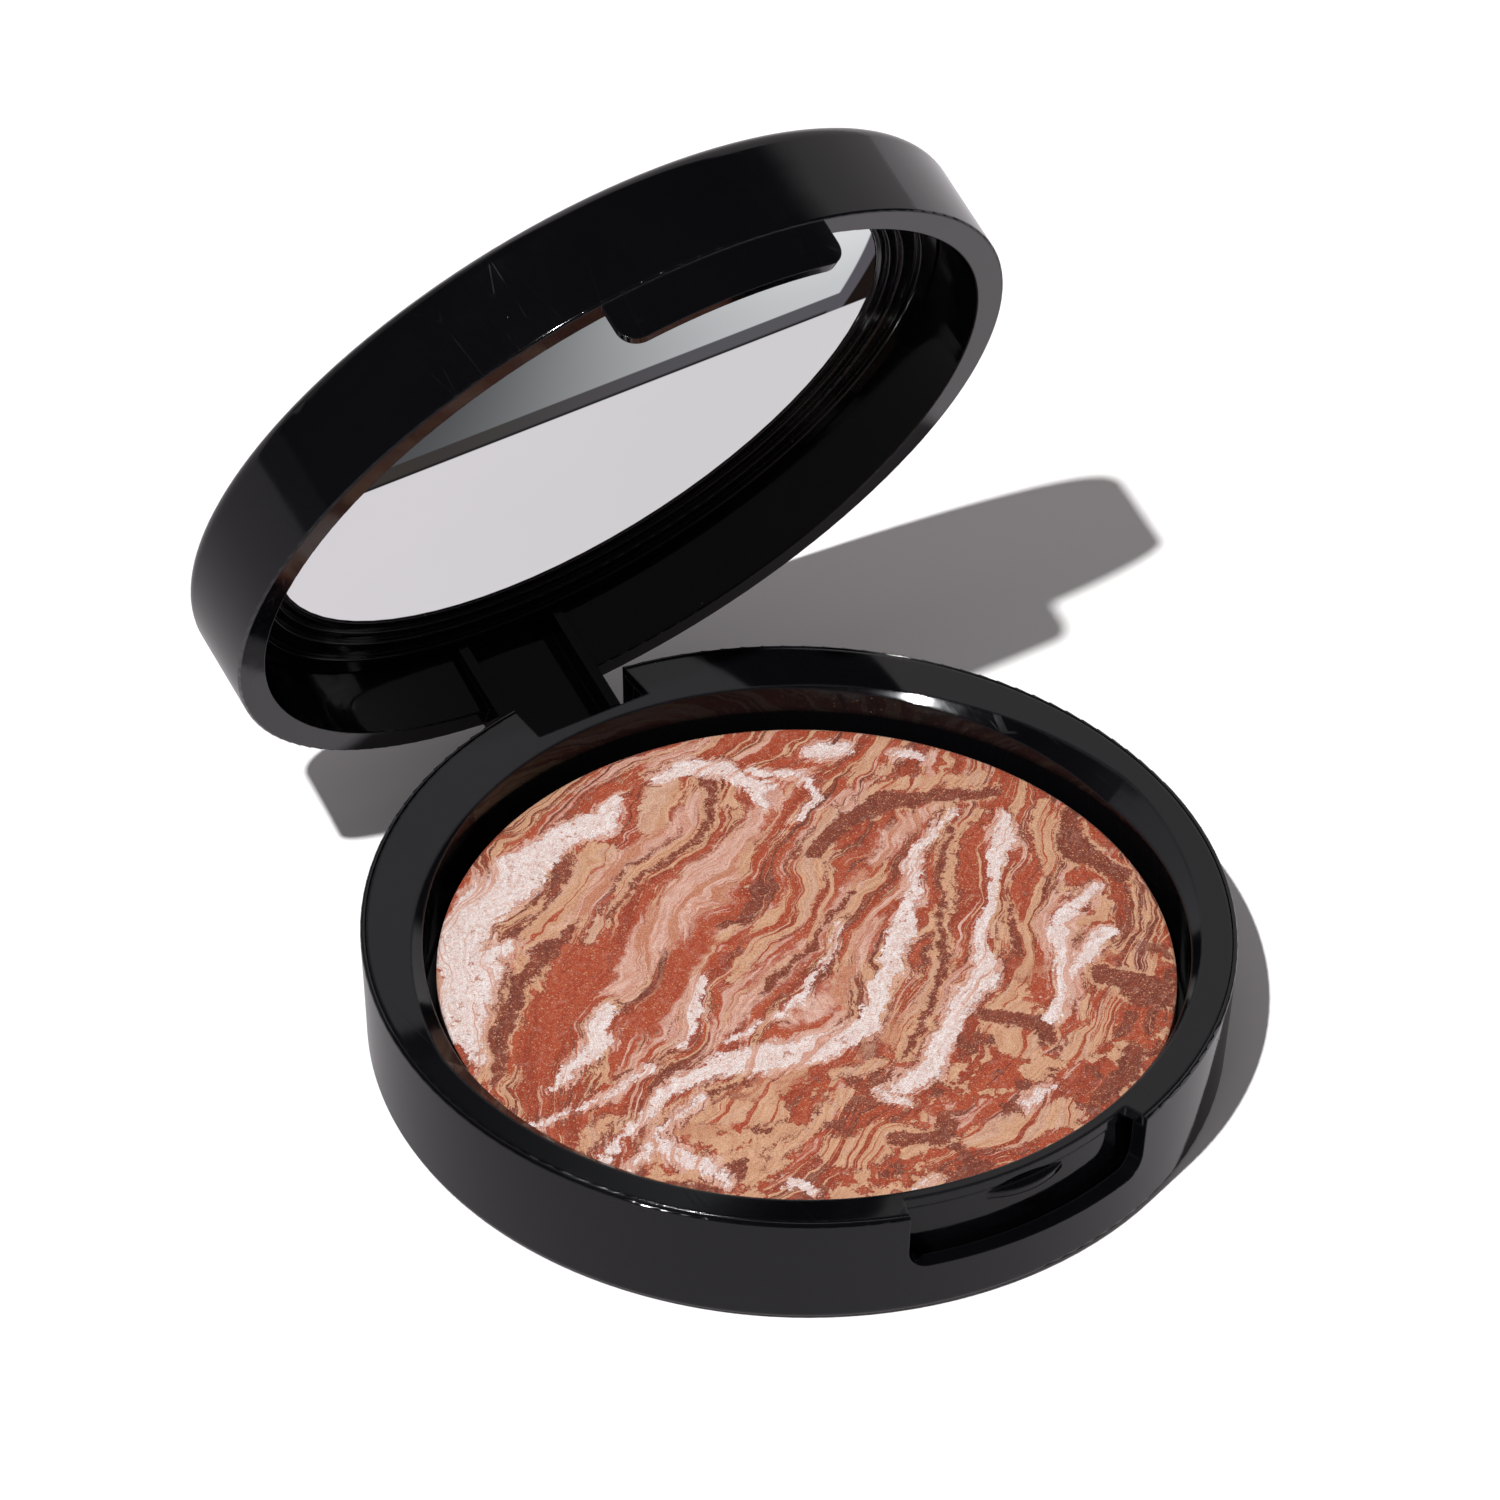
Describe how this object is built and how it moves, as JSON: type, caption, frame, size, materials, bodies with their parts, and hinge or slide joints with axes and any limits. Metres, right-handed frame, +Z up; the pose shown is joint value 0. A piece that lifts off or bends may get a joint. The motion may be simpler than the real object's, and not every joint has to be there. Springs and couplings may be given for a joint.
{
  "type": "powder compact",
  "caption": "Round glossy black powder compact with a hinged lid, a mirror inside the lid, a front latch tab and a baked marbled powder cake in the base.",
  "frame": {"origin": "centre of the base's underside, where it stands on the table", "axes": "+Z up, -Y towards the latch, +Y towards the hinge, +X along the hinge pin"},
  "size_m": [0.076, 0.0893, 0.0791],
  "materials": {
    "black_gloss": "glossy moulded black plastic",
    "baked_powder": "baked powder marbled in rust, tan, brown and pale pink, with fine shimmer",
    "fired_clay": "unglazed fired clay",
    "mirror": "silvered glass mirror",
    "pin_steel": "plain drawn steel",
    "glue": "thin set glue and foam tape",
    "label_film": "blank black label film"
  },
  "bodies": {
    "base": {"base_shell": "black_gloss", "base_tray": "black_gloss", "tile_glue": "glue", "powder_tile": "fired_clay", "powder_cake": "baked_powder", "base_label": "label_film", "hinge_pin": "pin_steel"},
    "lid": {"lid_shell": "black_gloss", "mirror_glue": "glue", "mirror_glass": "mirror", "mirror_ring": "black_gloss"}
  },
  "joints": [
    {"name": "lid_hinge", "type": "hinge", "parent": "base", "child": "lid", "pos_m": [0, 0.03571, 0.00484], "axis": [-1, 0, 0], "range_deg": [-68.65, 26.35]}
  ]
}
